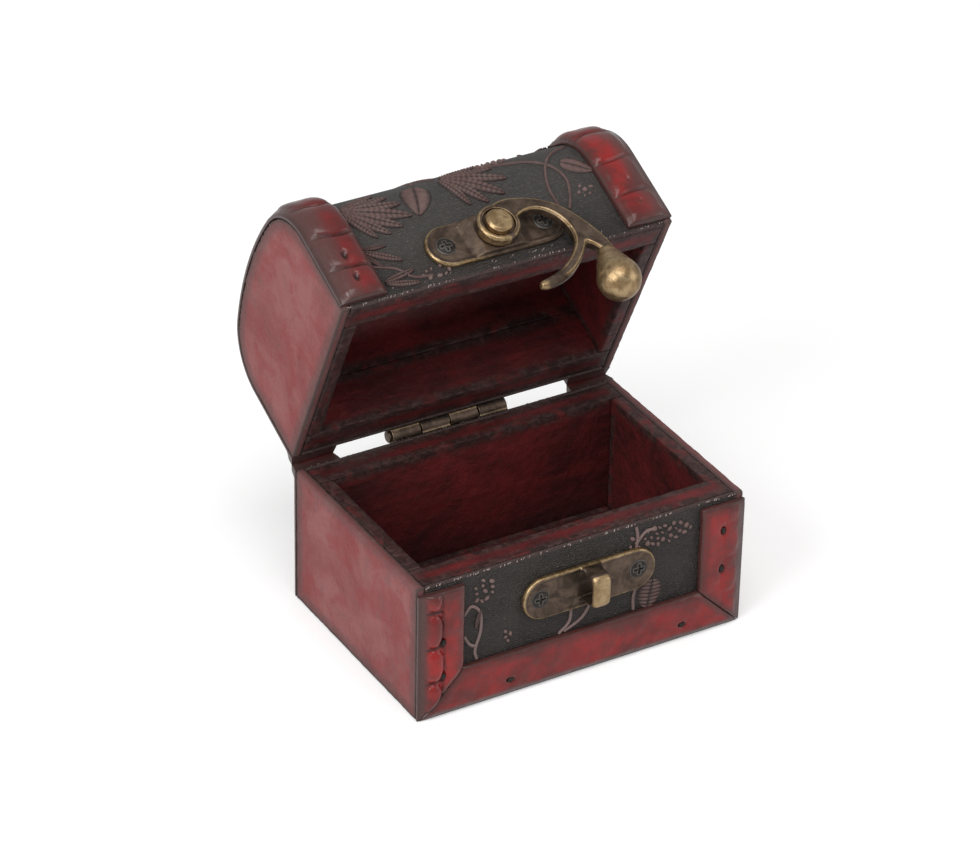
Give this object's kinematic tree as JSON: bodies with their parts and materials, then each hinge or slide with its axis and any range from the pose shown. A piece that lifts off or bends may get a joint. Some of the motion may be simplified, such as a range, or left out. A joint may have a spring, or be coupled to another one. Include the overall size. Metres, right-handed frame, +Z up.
{
  "type": "treasure chest box",
  "caption": "Small wooden treasure chest box with an arched hinged lid that stands open, embossed cover, strap-bound edges and a swing-hook clasp.",
  "frame": {"origin": "middle of the body's underside, in the plane it stands on", "axes": "+Z up, the clasp faces -Y and the hinge is at +Y, +X runs to the right seen from the front"},
  "size_m": [0.076, 0.0836, 0.0896],
  "materials": {
    "stained_panel": "dusty satin red stain",
    "stained_board": "satin dark red stain",
    "embossed_cover": "matte woven grain with raised foliage",
    "base_paper": "matte",
    "strap_leather": "glossy red, creased",
    "antique_brass": "antiqued, worn bright at the rims",
    "dark_steel": "blackened"
  },
  "bodies": {
    "chest_body": {"left_end_panel": "stained_panel", "right_end_panel": "stained_panel", "left_end_liner": "stained_board", "right_end_liner": "stained_board", "front_board": "stained_board", "back_board": "stained_board", "floor_board": "stained_board", "front_cover": "embossed_cover", "back_cover": "embossed_cover", "base_cover": "base_paper", "front_left_strap": "strap_leather", "front_right_strap": "strap_leather", "front_bottom_strap": "strap_leather", "back_left_strap": "strap_leather", "back_right_strap": "strap_leather", "back_bottom_strap": "strap_leather", "front_brads": "dark_steel", "back_brads": "dark_steel", "hinge_body_leaf": "antique_brass", "hinge_pin": "antique_brass", "hinge_body_screws": "dark_steel", "catch_plate": "antique_brass", "catch_screws": "dark_steel"},
    "lid": {"lid_left_end_panel": "stained_panel", "lid_right_end_panel": "stained_panel", "lid_left_end_liner": "stained_board", "lid_right_end_liner": "stained_board", "lid_front_board": "stained_board", "lid_back_board": "stained_board", "lid_top_board": "stained_board", "lid_cover": "embossed_cover", "lid_left_strap": "strap_leather", "lid_right_strap": "strap_leather", "lid_brads": "dark_steel", "hinge_lid_leaf": "antique_brass", "hinge_lid_screws": "dark_steel", "hook_plate": "antique_brass", "hook_plate_screws": "dark_steel", "hook_rivet": "antique_brass"},
    "hook": {"swing_hook": "antique_brass"}
  },
  "joints": [
    {"name": "lid_hinge", "type": "hinge", "parent": "chest_body", "child": "lid", "pos_m": [0, 0.02695, 0.03115], "axis": [-1, 0, 0], "range_deg": [-65, 0]},
    {"name": "hook_swing", "type": "hinge", "parent": "lid", "child": "hook", "pos_m": [0, 0.01211, 0.08155], "axis": [0, -0.4226, 0.9063], "range_deg": [-20, 25]}
  ]
}
